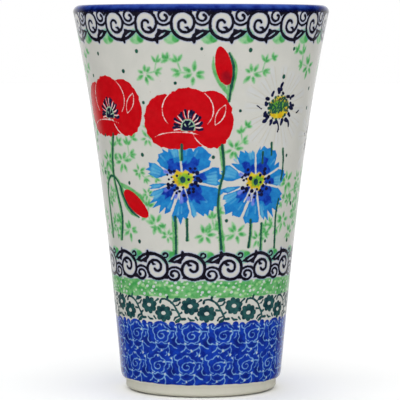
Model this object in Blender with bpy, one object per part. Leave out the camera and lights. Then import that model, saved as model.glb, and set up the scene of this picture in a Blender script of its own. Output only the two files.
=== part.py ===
"""Tall handle-less stoneware tumbler: a turned clay body under four thin coats of glaze.

Metres, +Z up. The origin is the centre of the foot ring, on the surface the tumbler stands on.
Every solid is a turned outline spun about Z. The outlines all follow one visible skin: up the
outer wall, over the rolled lip, down the inner wall and across the floor.
"""

import math

import bmesh
import bpy

# Overall size
HEIGHT = 0.152

# Outer wall: a straight taper plus a flare that grows towards the lip
BASE_RADIUS = 0.03127
TAPER = 0.0903
FLARE = 0.00606
FLARE_POWER = 3.157

# Foot: a low turned ring under a rounded shoulder, hollow underneath
FOOT_HEIGHT = 0.0043
FOOT_RADIUS = 0.0298
FOOT_ROLL_WIDTH = 0.0042
FOOT_ROLL_HEIGHT = 0.0019
SHOULDER_START_RADIUS = 0.0302
SHOULDER_TOP = 0.0090
RECESS_RADIUS = 0.0215
RECESS_DEPTH = 0.0034
RECESS_DRAFT = 0.0010

# Inside: wall thickness with its coats, and the rounded corner down to the floor
WALL = 0.0046
FLOOR_Z = 0.0088
CORNER_RADIUS = 0.0080

# Lip: a quarter ellipse outside and another inside, meeting at the top
LIP_RISE = 0.00277
LIP_OUTER_ROLL = 0.00287

# Coats
COAT = 0.0004
GAP = 0.0003
BODY_INSET = COAT + GAP
PAINT_EDGE_Z = 0.0053
LIP_BAND_BOTTOM = 0.1490
LIP_BAND_INNER_BOTTOM = 0.1455
BASE_COAT_RADIUS = 0.0196

# Resolution of the turned surfaces
SIDES = 48
WALL_STEPS = 8
ROLL_STEPS = 4
MERGE_DISTANCE = 1e-6


def clear_scene():
    """Start from an empty scene."""
    for item in list(bpy.data.objects):
        bpy.data.objects.remove(item, do_unlink=True)


def outer_radius(z):
    """Radius of the finished outer wall at height z."""
    return BASE_RADIUS + TAPER * z + FLARE * (z / HEIGHT) ** FLARE_POWER


def spread(low, high, steps):
    """Evenly spaced values from low to high, both included."""
    return [low + (high - low) * i / steps for i in range(steps + 1)]


def shoulder_points():
    """From the top of the foot round the shoulder to the wall."""
    wall_radius = outer_radius(SHOULDER_TOP)
    points = []
    for turn in spread(0.0, math.pi / 2, ROLL_STEPS):
        reach = math.sin(turn)
        rise = 1.0 - math.cos(turn)
        radius = SHOULDER_START_RADIUS + (wall_radius - SHOULDER_START_RADIUS) * reach
        points.append((radius, FOOT_HEIGHT + (SHOULDER_TOP - FOOT_HEIGHT) * rise))
    return points


def lip_outer_points():
    """Outer quarter of the rolled lip, from the wall up to the top."""
    wall_radius = outer_radius(HEIGHT - LIP_RISE)
    centre = wall_radius - LIP_OUTER_ROLL
    return [
        (centre + LIP_OUTER_ROLL * math.cos(turn), HEIGHT - LIP_RISE + LIP_RISE * math.sin(turn))
        for turn in spread(0.0, math.pi / 2, ROLL_STEPS)
    ]


def lip_inner_points():
    """Inner quarter of the rolled lip, from the top down to the inner wall."""
    wall_radius = outer_radius(HEIGHT - LIP_RISE)
    centre = wall_radius - LIP_OUTER_ROLL
    roll = WALL - LIP_OUTER_ROLL
    return [
        (centre - roll * math.sin(turn), HEIGHT - LIP_RISE + LIP_RISE * math.cos(turn))
        for turn in spread(0.0, math.pi / 2, ROLL_STEPS)
    ]


def outer_wall_points(low, high, steps):
    """Outer wall between two heights, going up."""
    return [(outer_radius(z), z) for z in spread(low, high, steps)]


def inner_wall_points(high, low, steps):
    """Inner wall between two heights, going down."""
    return [(outer_radius(z) - WALL, z) for z in spread(high, low, steps)]


def corner_points():
    """Rounded corner from the inner wall to the floor, then across to the axis."""
    corner_z = FLOOR_Z + CORNER_RADIUS
    wall_radius = outer_radius(corner_z) - WALL
    centre = wall_radius - CORNER_RADIUS
    points = [
        (centre + CORNER_RADIUS * math.cos(turn), corner_z - CORNER_RADIUS * math.sin(turn))
        for turn in spread(0.0, math.pi / 2, ROLL_STEPS)
    ]
    return points + [(0.0, FLOOR_Z)]


def join(*runs):
    """Runs of points end to end, without repeating a shared point."""
    points = []
    for run in runs:
        for point in run:
            if not points or math.dist(points[-1], point) > MERGE_DISTANCE:
                points.append(point)
    return points


def inset(points, distance):
    """The run moved sideways into the clay: to the right of its own direction is outside."""
    moved = []
    for i, (radius, z) in enumerate(points):
        before = points[max(i - 1, 0)]
        after = points[min(i + 1, len(points) - 1)]
        along_r = after[0] - before[0]
        along_z = after[1] - before[1]
        length = math.hypot(along_r, along_z)
        new_radius = radius - along_z / length * distance
        new_z = z + along_r / length * distance
        moved.append((0.0 if radius == 0.0 else new_radius, new_z))
    return moved


def make_material(name, colour, roughness, metallic=0.0):
    """A plain Principled surface."""
    material = bpy.data.materials.new(name)
    material.use_nodes = True
    shader = material.node_tree.nodes["Principled BSDF"]
    shader.inputs["Base Color"].default_value = (*colour, 1.0)
    shader.inputs["Roughness"].default_value = roughness
    shader.inputs["Metallic"].default_value = metallic
    return material


def turned(name, outline, material):
    """A solid of revolution from a closed outline, or from one that starts and ends on the axis."""
    model = bmesh.new()
    corners = [model.verts.new((radius, 0.0, z)) for radius, z in outline]
    closed = outline[0][0] > 0.0
    edges = [model.edges.new(pair) for pair in zip(corners, corners[1:])]
    if closed:
        edges.append(model.edges.new((corners[-1], corners[0])))
    bmesh.ops.spin(
        model,
        geom=corners + edges,
        cent=(0.0, 0.0, 0.0),
        axis=(0.0, 0.0, 1.0),
        angle=math.tau,
        steps=SIDES,
        use_merge=True,
    )
    bmesh.ops.remove_doubles(model, verts=model.verts, dist=MERGE_DISTANCE)
    bmesh.ops.recalc_face_normals(model, faces=model.faces)
    mesh = bpy.data.meshes.new(name)
    model.to_mesh(mesh)
    model.free()
    mesh.shade_smooth()
    mesh.set_sharp_from_angle(angle=math.radians(35.0))
    mesh.materials.append(material)
    item = bpy.data.objects.new(name, mesh)
    bpy.context.collection.objects.link(item)
    return item


def coat_outline(surface):
    """Closed outline of a coat whose outer face is the given run of the skin."""
    return surface + list(reversed(inset(surface, COAT)))


def stoneware_body():
    """The fired clay: foot ring, recessed base, floor, wall and lip."""
    underside = [
        (0.0, RECESS_DEPTH),
        (RECESS_RADIUS - RECESS_DRAFT, RECESS_DEPTH),
        (RECESS_RADIUS, 0.0),
    ]
    roll_centre = FOOT_RADIUS - FOOT_ROLL_WIDTH
    foot_roll = [
        (
            roll_centre + FOOT_ROLL_WIDTH * math.sin(turn),
            FOOT_ROLL_HEIGHT * (1.0 - math.cos(turn)),
        )
        for turn in spread(0.0, math.pi / 2, ROLL_STEPS)
    ]
    skin = join(
        shoulder_points(),
        outer_wall_points(SHOULDER_TOP, HEIGHT - LIP_RISE, WALL_STEPS),
        lip_outer_points(),
        lip_inner_points(),
        inner_wall_points(HEIGHT - LIP_RISE, FLOOR_Z + CORNER_RADIUS, WALL_STEPS),
        corner_points(),
    )
    clay = inset(skin, BODY_INSET)
    clay[0] = (FOOT_RADIUS, FOOT_HEIGHT)
    colour = (0.57, 0.54, 0.44)
    return turned(
        "stoneware_body", join(underside, foot_roll, clay), make_material("bare_clay", colour, 0.85)
    )


def outer_glaze():
    """The decorated coat, from the paint edge above the foot to the underside of the lip band."""
    shoulder = [point for point in shoulder_points() if point[1] > PAINT_EDGE_Z]
    surface = join(shoulder, outer_wall_points(SHOULDER_TOP, LIP_BAND_BOTTOM - GAP, WALL_STEPS))
    colour = (0.60, 0.58, 0.50)
    return turned("outer_glaze", coat_outline(surface), make_material("decorated_glaze", colour, 0.12))


def lip_glaze():
    """The cobalt band rolled over the lip."""
    surface = join(
        outer_wall_points(LIP_BAND_BOTTOM, HEIGHT - LIP_RISE, 1),
        lip_outer_points(),
        lip_inner_points(),
        inner_wall_points(HEIGHT - LIP_RISE, LIP_BAND_INNER_BOTTOM, 1),
    )
    colour = (0.012, 0.030, 0.240)
    return turned("lip_glaze", coat_outline(surface), make_material("cobalt_glaze", colour, 0.10))


def inner_glaze():
    """The clear liner coat, from below the lip band down over the floor."""
    surface = join(
        inner_wall_points(LIP_BAND_INNER_BOTTOM - GAP, FLOOR_Z + CORNER_RADIUS, WALL_STEPS),
        corner_points(),
    )
    colour = (0.62, 0.60, 0.52)
    return turned("inner_glaze", coat_outline(surface), make_material("liner_glaze", colour, 0.12))


def base_glaze():
    """The coat in the recess under the base."""
    top = RECESS_DEPTH - GAP
    bottom = top - COAT
    edge = BASE_COAT_RADIUS
    outline = [(0.0, bottom), (edge - COAT, bottom), (edge, top), (0.0, top)]
    colour = (0.60, 0.58, 0.50)
    return turned("base_glaze", outline, make_material("base_coat_glaze", colour, 0.15))


clear_scene()
stoneware_body()
outer_glaze()
lip_glaze()
inner_glaze()
base_glaze()
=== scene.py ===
"""Looks of the stoneware tumbler: fine turned surfaces, hand-drawn folk decoration and glazes.

The decoration is drawn by the functions below onto the outer wall, unrolled: every motif is a
few strokes, areas and spots with its own origin, in millimetres, x to the right and y up. Each
pigment is stored on the wall's points as the distance to the nearest edge of its shapes, and the
glaze material turns those distances into painted edges.

Angles round the tumbler are in degrees: 0 faces the front (-Y) and they grow towards +X.
"""

import math
from typing import NamedTuple

import bpy
import numpy as np
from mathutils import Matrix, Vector


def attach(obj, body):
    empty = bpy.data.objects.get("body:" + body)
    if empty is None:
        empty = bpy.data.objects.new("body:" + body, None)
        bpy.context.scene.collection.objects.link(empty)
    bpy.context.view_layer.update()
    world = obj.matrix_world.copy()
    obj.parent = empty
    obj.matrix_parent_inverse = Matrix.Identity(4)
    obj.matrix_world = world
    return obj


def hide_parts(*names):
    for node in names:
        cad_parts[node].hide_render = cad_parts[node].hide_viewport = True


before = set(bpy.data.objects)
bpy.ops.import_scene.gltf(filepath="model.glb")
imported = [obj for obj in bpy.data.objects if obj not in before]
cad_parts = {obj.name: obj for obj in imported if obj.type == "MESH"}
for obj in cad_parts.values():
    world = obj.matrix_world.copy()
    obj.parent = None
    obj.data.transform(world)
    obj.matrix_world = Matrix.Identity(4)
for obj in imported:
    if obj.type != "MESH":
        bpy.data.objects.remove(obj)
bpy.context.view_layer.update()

# Shape, as in the CAD model
HEIGHT = 0.152
BASE_RADIUS = 0.03127
TAPER = 0.0903
FLARE = 0.00606
FLARE_POWER = 3.157
FOOT_HEIGHT = 0.0043
FOOT_RADIUS = 0.0298
FOOT_ROLL_WIDTH = 0.0042
FOOT_ROLL_HEIGHT = 0.0019
SHOULDER_START_RADIUS = 0.0302
SHOULDER_TOP = 0.0090
RECESS_RADIUS = 0.0215
RECESS_DEPTH = 0.0034
RECESS_DRAFT = 0.0010
WALL = 0.0046
FLOOR_Z = 0.0088
CORNER_RADIUS = 0.0080
LIP_RISE = 0.00277
LIP_OUTER_ROLL = 0.00287
COAT = 0.0004
COAT_GAP = 0.0003
PAINT_EDGE_Z = 0.0053
LIP_BAND_BOTTOM = 0.1490
LIP_BAND_INNER_BOTTOM = 0.1455
BASE_COAT_RADIUS = 0.0196
BASE_COAT_BEVEL = 0.0002

# How far pieces overlap or stand off, so that no two faces lie in one place
WALL_UNDER_LIP = 0.0005
LIP_PROUD = 0.00004
SHOULDER_SHY = 0.00015

# Resolution
WALL_COLUMNS = 1152
WALL_ROWS = 552
PLAIN_COLUMNS = 384
MM = 1000.0
FAR = 9.0
EDGE_MARGIN = 1.6

# Decoration layout, in mm
UPPER_SCROLL_Z = 144.3
LOWER_SCROLL_Z = 51.2
LATTICE_TOP = 30.3
ROSES = 17
MEADOW_LIFT = 0.6
GREEN_BAND = (39.5, 46.2)
LIP_SHADOW_Z = 149.15


def outer_radius(z):
    """Radius of the outer wall at height z, in metres."""
    return BASE_RADIUS + TAPER * z + FLARE * (np.maximum(z, 0.0) / HEIGHT) ** FLARE_POWER


def skin_radius(z):
    """Radius of the glazed outside at height z, with the rounded shoulder over the foot."""
    rise = np.clip((z - FOOT_HEIGHT) / (SHOULDER_TOP - FOOT_HEIGHT), 0.0, 1.0)
    reach = np.sin(np.arccos(1.0 - rise))
    wall = outer_radius(SHOULDER_TOP)
    shoulder = SHOULDER_START_RADIUS + (wall - SHOULDER_START_RADIUS) * reach
    return np.where(z < SHOULDER_TOP, shoulder, outer_radius(z))


def srgb(red, green, blue):
    """Linear colour from screen values of 0 to 255."""
    values = np.array((red, green, blue)) / 255.0
    linear = np.where(values <= 0.04045, values / 12.92, ((values + 0.055) / 1.055) ** 2.4)
    return (*linear, 1.0)


# Curves
def run_of(*values):
    """Coordinates side by side, one row a point; a single number is repeated for every point."""
    return np.stack(np.broadcast_arrays(*values), -1)


def smooth(points, closed=False, steps=4):
    """A Catmull-Rom curve through the points."""
    knots = np.array(points, float)
    if closed:
        knots = np.vstack([knots[-1], knots, knots[:2]])
    else:
        knots = np.vstack([2 * knots[0] - knots[1], knots, 2 * knots[-1] - knots[-2]])
    t = (np.arange(steps) / steps)[:, None]
    parts = []
    for a, b, c, d in zip(knots, knots[1:], knots[2:], knots[3:]):
        curve = 2 * b + (c - a) * t + (2 * a - 5 * b + 4 * c - d) * t**2
        parts.append(0.5 * (curve + (3 * b - a - 3 * c + d) * t**3))
    end = knots[1] if closed else knots[-2]
    return np.vstack(parts + [end])


def spiral(centre, knots, step=14.0):
    """A curve round a centre, from knots of (direction in degrees, radius)."""
    directions = [direction for direction, _ in knots]
    count = int(abs(directions[-1] - directions[0]) / step) + 2
    along = np.linspace(0.0, 1.0, count)
    start, end = directions[0], directions[-1]
    turned = start + (end - start) * along
    order = np.sign(end - start)
    radii = np.interp(turned * order, np.array(directions) * order, [r for _, r in knots])
    angle = np.radians(turned)
    return np.stack([centre[0] + radii * np.cos(angle), centre[1] + radii * np.sin(angle)], 1)


def oval(centre, half_length, half_width, direction=0.0, pinch=0.0, count=24):
    """A closed egg shape, narrower towards its far end when pinch is above 0."""
    t = np.linspace(0.0, math.tau, count, endpoint=False)
    along = half_length * np.cos(t)
    across = half_width * np.sin(t) * (1.0 - pinch * np.cos(t))
    c, s = math.cos(math.radians(direction)), math.sin(math.radians(direction))
    x = centre[0] + along * c - across * s
    y = centre[1] + along * s + across * c
    return np.stack([x, y], 1)


def frilled(points, depth, length):
    """A closed curve with a soft wave along its edge."""
    closed = np.vstack([points, points[:1]])
    steps = np.hypot(*np.diff(closed, axis=0).T)
    run = np.concatenate([[0.0], np.cumsum(steps)])[:-1]
    waves = max(round(run[-1] / length), 1)
    ahead = np.roll(points, -1, 0) - np.roll(points, 1, 0)
    normal = np.stack([ahead[:, 1], -ahead[:, 0]], 1)
    normal /= np.maximum(np.hypot(*normal.T), 1e-6)[:, None]
    phase = run / run[-1] * waves * math.tau
    wave = np.sin(phase) + 0.6 * np.sin(phase * 1.7 + 1.0)
    return points + normal * (depth * wave)[:, None]


def arc(centre, radii, first, last, count):
    """Points along an ellipse between two directions in degrees."""
    turn = np.radians(np.linspace(first, last, count))
    return np.stack([centre[0] + radii[0] * np.cos(turn), centre[1] + radii[1] * np.sin(turn)], 1)


def polar(radius, direction):
    """The point at a radius and a direction in degrees."""
    angle = math.radians(direction)
    return np.array((radius * math.cos(angle), radius * math.sin(angle)))


# Distances
def stroke_distance(x, y, line, half_widths):
    """Distance to a stroke whose half width changes along it, below 0 inside."""
    nearest = np.full(x.shape, FAR * 3)
    widths = np.asarray(half_widths, float)
    for start, end, wide, next_wide in zip(line, line[1:], widths, widths[1:]):
        along_x, along_y = end - start
        length = along_x * along_x + along_y * along_y + 1e-12
        t = np.clip(((x - start[0]) * along_x + (y - start[1]) * along_y) / length, 0.0, 1.0)
        gap = np.hypot(x - start[0] - t * along_x, y - start[1] - t * along_y)
        nearest = np.minimum(nearest, gap - wide - (next_wide - wide) * t)
    return nearest


def area_distance(x, y, outline):
    """Distance to the edge of a closed outline, below 0 inside."""
    line = np.vstack([outline, outline[:1]])
    inside = np.zeros(x.shape, bool)
    for (x0, y0), (x1, y1) in zip(line, line[1:]):
        crossing = (y0 > y) != (y1 > y)
        slope = (x1 - x0) / (y1 - y0) if y1 != y0 else 0.0
        inside ^= crossing & (x < x0 + slope * (y - y0))
    edge = stroke_distance(x, y, line, np.zeros(len(line)))
    return np.where(inside, -edge, edge)


class Place(NamedTuple):
    """Where a motif sits on its canvas: origin, turn, mirroring (-1), size and upright stretch."""

    canvas: "Canvas"
    angle: float
    height: float
    turn: float = 0.0
    flip: float = 1.0
    size: float = 1.0
    stretch: float = 1.0

    def put(self, points):
        """Motif points in mm about the origin, after the turn."""
        points = np.array(points, float).reshape(-1, 2) * self.size * (self.flip, self.stretch)
        turn = math.radians(self.turn)
        c, s = math.cos(turn), math.sin(turn)
        return points @ np.array(((c, s), (-s, c)))

    def stroke(self, pigment, points, width, cut=False):
        """A brush stroke. The width is one number, or several spread along the stroke."""
        line = self.put(points)
        widths = np.atleast_1d(np.array(width, float)) * self.size
        along = np.linspace(0.0, 1.0, len(line))
        spread = np.interp(along, np.linspace(0.0, 1.0, len(widths)), widths)
        where, x, y = self.canvas.local(self, line, widths.max() / 2 + EDGE_MARGIN)
        self.canvas.merge(pigment, where, stroke_distance(x, y, line, spread / 2), cut)

    def area(self, pigment, points, cut=False):
        """A filled shape."""
        outline = self.put(points)
        where, x, y = self.canvas.local(self, outline, EDGE_MARGIN)
        self.canvas.merge(pigment, where, area_distance(x, y, outline), cut)

    def spot(self, pigment, centre, radii, cut=False):
        """A filled oval, level with the motif."""
        self.area(pigment, oval(centre, *radii, count=20), cut)


class Canvas:
    """The unrolled outer wall, with one sheet of distances for each pigment."""

    def __init__(self, pigments, heights, radii, columns):
        self.heights = heights * MM
        self.radii = radii * MM
        self.columns = columns
        self.step = 360.0 / columns
        shape = (len(heights), columns)
        self.sheets = {name: np.full(shape, FAR, np.float32) for name in pigments}

    def local(self, place, points, margin):
        """The rows and columns round some points, and their place in mm about the origin."""
        low = points.min(0) - margin
        high = points.max(0) + margin
        first = np.searchsorted(self.heights, place.height + low[1])
        last = np.searchsorted(self.heights, place.height + high[1])
        rows = np.arange(first, max(last, first + 1))
        rows = rows[rows < len(self.heights)]
        radius = self.radii[rows].min()
        left = math.floor((place.angle + math.degrees(low[0] / radius)) / self.step)
        right = math.ceil((place.angle + math.degrees(high[0] / radius)) / self.step)
        columns = np.arange(left, right + 1)
        turn = np.radians(columns * self.step - place.angle)
        x = turn[None, :] * self.radii[rows][:, None]
        y = np.repeat((self.heights[rows] - place.height)[:, None], len(columns), 1)
        return np.ix_(rows, columns % self.columns), x, y

    def merge(self, pigment, where, distance, cut):
        """Add a shape to a pigment, or take it away."""
        sheet = self.sheets[pigment]
        if cut:
            sheet[where] = np.maximum(sheet[where], -distance)
        else:
            sheet[where] = np.minimum(sheet[where], distance)

    def grid(self):
        """The height in mm of every row, and the angle in radians of every column."""
        turn = np.radians(np.arange(self.columns) * self.step)
        return self.heights[:, None], turn[None, :]

    def ring(self, pigment, distance):
        """A band right round the wall, from a distance for every point."""
        self.sheets[pigment] = np.minimum(self.sheets[pigment], distance).astype(np.float32)

    def route(self, pairs):
        """A place and local points for a long line given by (angle, height) pairs."""
        pairs = np.array(pairs, float)
        angle, height = pairs.mean(0)
        radii = np.interp(pairs[:, 1], self.heights, self.radii)
        x = np.radians(pairs[:, 0] - angle) * radii
        return Place(self, angle, height), np.stack([x, pairs[:, 1] - height], 1)


def round_wall(first, step, count):
    """Angles of a band's repeats: the given step apart at the front, eased to close up at the back."""
    ease = math.degrees(step * count / 360.0 - 1.0)
    even = [360.0 * k / count for k in range(count)]
    return [first + angle + ease * math.sin(math.radians(angle)) for angle in even]


# Running scrolls
def scroll(place, weight, hooked):
    """One unit of the running scroll: a large spiral, a small one and a split leaf."""
    main = spiral(
        (0.0, 0.0),
        ((30, 1.3), (100, 1.6), (190, 1.6), (235, 2.3), (280, 3.05), (335, 3.9), (400, 4.9),
         (480, 5.0), (540, 4.35), (590, 4.7), (620, 5.1), (645, 5.9), (665, 7.0)),
    )
    place.stroke("ink", main, np.array((0.95, 1.0, 1.05, 1.1, 1.25)) * weight)
    place.stroke("ink", ((3.7, -5.5), (4.0, -6.3), (4.1, -6.8)), (1.8, 1.4, 1.0))
    place.stroke("ink", ((0.8, -1.15), (1.7, -1.35), (2.5, -2.3)), (0.6, 1.2, 0.9))
    small = spiral(
        (7.4, 3.1),
        ((27, 0.8), (-15, 1.45), (-56, 1.8), (-183, 1.9), (-264, 2.1), (-320, 2.4), (-349, 2.7)),
    )
    place.stroke("ink", small, np.array((1.15, 0.85, 0.85, 0.95, 1.0)) * weight)
    shelf = smooth(((10.2, 1.0), (8.6, 0.0), (7.0, -0.25), (5.4, 0.3), (4.5, 1.4)))
    place.stroke("ink", shelf, 0.85 * weight)
    leaf = ((4.6, -1.6), (5.6, -1.8), (6.4, -2.1), (7.6, -1.9), (8.6, -2.2), (10.3, -2.5), (8.6, -4.2),
            (6.2, -5.6), (4.2, -6.2), (3.2, -5.2), (3.5, -4.0), (4.4, -3.0))
    place.area("ink", leaf)
    place.stroke("ink", ((5.0, -4.6), (6.2, -3.9), (7.5, -3.1)), (0.35, 0.6, 0.3), cut=True)
    if hooked:
        curl = spiral((-3.8, -5.3), ((60, 1.0), (250, 0.92), (340, 0.85)), 30.0)
        place.stroke("ink", curl, (0.6, 0.85, 0.9))


def scroll_shade(place, side):
    """The green half discs under a scroll unit, with a darker touch on one side."""
    place.spot("leaf", (-4.7, -4.5), (3.3, 3.0))
    place.spot("moss", (-4.7 + side * 1.9, -5.2), (1.6, 1.7))


def scroll_bands(canvas):
    """The band under the lip, and the same band upside down over the green one."""
    fill = ((-7.8, 5.0), (-5.0, 5.0), (-4.4, 3.4), (-3.0, 4.4), (-0.2, 5.0), (2.6, 4.6), (3.6, 4.2),
            (3.8, 5.3), (3.8, 6.6), (-7.8, 6.6))
    for angle in round_wall(-8.0, 17.0, 21):
        place = Place(canvas, angle, UPPER_SCROLL_Z)
        scroll_shade(place, 1.0)
        scroll(place, 1.05, False)
        place.area("ink", fill)
    corners = (
        # the dark corners where a large spiral stands on the green band
        ((-4.6, 2.6), (-3.2, 4.1), (-0.4, 4.9), (-4.9, 4.9)),
        ((2.4, 4.4), (3.7, 3.4), (4.6, 4.7), (0.6, 4.9)),
    )
    for angle in round_wall(-4.7, 23.2, 16):
        place = Place(canvas, angle, LOWER_SCROLL_Z, turn=180.0, stretch=0.91)
        scroll_shade(place, -1.0)
        scroll(place, 1.12, True)
        for corner in corners:
            place.area("ink", corner)


# Leaf sprays and dots
def leaflet(place, root, direction, length, width):
    """One soft green leaflet, darker near its root."""
    root = np.array(root, float)
    tip = root + polar(length, direction)
    line = np.linspace(root, tip, 6)
    place.stroke("leaf", line, np.array((0.2, 0.8, 1.05, 1.0, 0.7, 0.15)) * width)
    dark = np.linspace(root + polar(length * 0.1, direction), root + polar(length * 0.65, direction), 4)
    place.stroke("moss", dark, np.array((0.1, 0.6, 0.5, 0.05)) * width)


def leaf_spray(place):
    """A small rosette with a branch of lesser leaves, each one a little different."""
    pick = np.random.RandomState(int(place.angle * 10.0 + place.height * 7.0) % 997).uniform
    for direction, start, length, width in (
        (102, 0.8, 3.5, 1.6), (52, 1.0, 3.1, 1.7), (-18, 0.8, 3.7, 1.6),
        (-82, 1.0, 3.2, 1.5), (-138, 1.0, 3.5, 1.7), (168, 1.0, 3.3, 1.4),
    ):
        direction += pick(-14, 14)
        length *= pick(0.75, 1.15)
        leaflet(place, polar(start, direction), direction, length, width)
    forks = (
        # root, the fork itself, then direction and length of its leaflets
        ((0.6, 0.2), (4.6, 1.4), ((28, 3.0), (-8, 2.7), (-50, 2.6))),
        ((4.2, 1.4), (4.8, 5.0), ((132, 2.8), (82, 3.4), (32, 2.9))),
        ((4.8, 4.9), (8.0, 6.6), ((96, 2.4), (40, 2.6), (-20, 2.3))),
    )
    for root, node, leaves in forks:
        place.stroke("leaf", (root, node), (0.5, 0.6))
        for direction, length in leaves:
            length *= pick(0.85, 1.2)
            leaflet(place, node, direction + pick(-12, 12), length, 1.35)


SPRAYS = (
    # angle, height, turn, mirroring, size
    (-27.5, 125.6, -5, 1, 0.95), (-3.5, 125.6, 10, -1, 1.1), (25.0, 125.6, -5, 1, 1.0),
    (63.0, 128.0, 5, -1, 1.1), (-77.0, 126.0, 10, 1, 0.95), (-50.0, 121.5, 200, -1, 0.6),
    (-61.5, 92.0, 0, 1, 1.05), (-47.5, 91.8, 15, 1, 1.05), (-36.0, 88.0, -60, 1, 0.75),
    (-63.5, 76.5, 60, 1, 0.75), (-46.5, 65.0, 20, -1, 1.0), (-27.0, 68.0, -20, -1, 1.05),
    (-20.0, 63.5, 100, 1, 0.75), (2.2, 64.0, 20, 1, 1.0), (21.0, 64.5, 30, -1, 1.0),
    (17.5, 97.0, 20, 1, 0.95), (56.5, 83.5, -70, 1, 1.15), (56.5, 68.5, 60, -1, 1.0),
    (66.0, 63.5, 30, 1, 0.85), (74.0, 79.5, 10, 1, 1.0), (77.0, 67.0, -20, -1, 0.95),
    (-78.0, 98.0, 40, 1, 0.9), (-77.0, 70.0, 10, -1, 0.9), (84.0, 128.0, 10, 1, 0.95),
    (-64.5, 66.0, 60, -1, 0.7), (-57.5, 69.0, 120, -1, 0.6), (-71.0, 88.0, -30, 1, 0.9),
    (-59.0, 79.0, 80, -1, 0.5), (-31.5, 79.5, 60, -1, 0.65), (70.5, 84.0, 160, -1, 0.9),
    (71.0, 72.0, -30, 1, 0.95), (60.5, 76.5, 150, 1, 0.7), (-29.0, 101.0, -80, -1, 0.8),
    (36.0, 62.0, 10, 1, 0.8),
)

DOTS = (
    # angle, height
    (-57.0, 132.6), (-31.0, 133.6), (0.3, 134.5), (23.2, 134.0), (48.3, 134.4), (-65.8, 124.0),
    (-40.0, 126.0), (-12.5, 121.5), (-29.8, 114.0), (43.8, 123.8), (20.0, 111.0), (69.0, 119.0),
    (70.5, 111.4), (-61.7, 101.0), (-33.0, 94.0), (6.5, 93.4), (53.5, 93.3), (-68.0, 86.4),
    (-44.0, 83.0), (14.8, 69.3), (64.5, 74.5), (41.7, 60.9), (64.8, 60.3), (-39.8, 60.8),
    (-80.0, 118.0), (-86.0, 106.0), (84.0, 86.0), (80.0, 60.0),
)


def foliage(canvas, half):
    """The sprays and dots of one half of the wall."""
    for angle, height, turn, flip, size in SPRAYS:
        leaf_spray(Place(canvas, angle + half, height, turn, flip, size))
    for number, (angle, height) in enumerate(DOTS):
        place = Place(canvas, angle + half, height + MEADOW_LIFT * min((height - 60.0) / 30.0, 1.0))
        reach = 0.7 + 0.1 * math.sin(number * 2.3)
        place.spot("stem", (0.0, 0.0), (reach, reach * 1.1))


# Stems and buds
def stem(canvas, pairs, shade, green):
    """A dark stem with a green side, which may change from the left to the right on its way."""
    place, points = canvas.route(pairs)
    line = smooth(points) if len(points) > 2 else np.linspace(points[0], points[1], 5)
    side = np.stack([np.linspace(shade[0], shade[1], len(line)), np.zeros(len(line))], 1)
    place.stroke("stem", line, (1.05, 0.9, 1.05))
    place.stroke("blade", line + side, green)
    place.stroke("blade", line - side * 0.7, 0.5)


STEMS = (
    # route as (angle, height), the green side's offset at both ends, its width
    (((-66.9, 61.6), (-67.1, 73.7), (-67.1, 78.4), (-65.4, 82.8), (-61.9, 85.4), (-58.5, 85.7),
      (-54.9, 84.4), (-52.2, 81.8), (-51.0, 79.4)), (-0.7, 0.9), 1.4),
    (((-53.4, 102.2), (-54.7, 98.5), (-56.7, 93.0), (-57.5, 88.6), (-57.3, 85.2), (-55.4, 78.6),
      (-53.5, 73.7), (-53.0, 69.4), (-54.0, 65.6), (-55.7, 61.0)), (-0.6, -0.7), 1.3),
    (((11.1, 98.6), (12.2, 92.0), (12.4, 88.0), (10.2, 81.5), (9.6, 75.5), (10.7, 68.0), (12.3, 57.4)),
     (-0.8, 0.8), 1.3),
    (((-15.0, 71.0), (-14.9, 63.0), (-15.2, 55.5)), (-0.8, -0.8), 1.3),
    (((-8.0, 70.2), (-8.3, 62.0)), (-0.4, 0.4), 0.9),
    (((-10.2, 98.8), (-10.2, 93.0)), (-0.5, -0.7), 1.2),
    (((30.0, 69.5), (30.2, 64.0), (29.5, 59.0)), (0.5, 0.5), 0.9),
    (((37.8, 67.9), (38.5, 56.8)), (0.5, 0.5), 0.9),
    (((49.6, 96.6), (51.0, 92.0), (51.2, 88.0), (50.8, 84.5)), (-0.3, 0.3), 0.8),
    (((50.4, 77.0), (49.0, 71.0), (50.4, 58.0)), (0.3, 0.3), 0.8),
    (((40.3, 99.0), (41.0, 94.5)), (0.2, 0.4), 0.7),
    (((35.0, 95.5), (35.2, 91.5)), (0.2, 0.2), 0.6),
    (((14.5, 121.3), (14.3, 118.3), (13.9, 115.2)), (-0.9, -0.5), 1.2),
)


def stems(canvas, half):
    """All the stems of one half of the wall."""
    for pairs, shade, green in STEMS:
        stem(canvas, [(angle + half, height) for angle, height in pairs], shade, green)


def bud(place, shaded):
    """A red bud in two narrow sepals, drawn upright: a pale one on its left, a dark one on its right."""
    pale = smooth(((-3.1, 4.4), (-3.8, 0.2), (-3.2, -4.1), (-1.9, -7.7), (-0.7, -10.6)))
    place.stroke("blade", pale, (0.3, 1.5, 1.8, 1.9, 1.3))
    outer = smooth(((3.4, 4.2), (4.4, 0.2), (4.2, -3.0), (2.8, -6.6), (1.0, -10.0)))
    place.stroke("blade", outer, (0.4, 1.3, 1.5, 1.2, 1.2))
    place.area("red", oval((0.0, 0.0), 7.5, 3.2, 90.0, pinch=0.12))
    if shaded:
        place.area("maroon", oval((0.2, -4.8), 2.6, 1.9, 100.0))
    dark = smooth(((3.1, 4.2), (3.6, 0.8), (3.4, -2.6), (2.2, -6.4), (0.8, -9.4)))
    place.stroke("stem", dark, (0.7, 1.2, 1.1, 1.1, 1.0))


def buds(canvas, half):
    """An upright bud beside the daisy and a drooping one on its arched stem."""
    bud(Place(canvas, 10.6 + half, 128.7, turn=14.0), True)
    bud(Place(canvas, -40.6 + half, 75.4, turn=-130.0), False)


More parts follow.
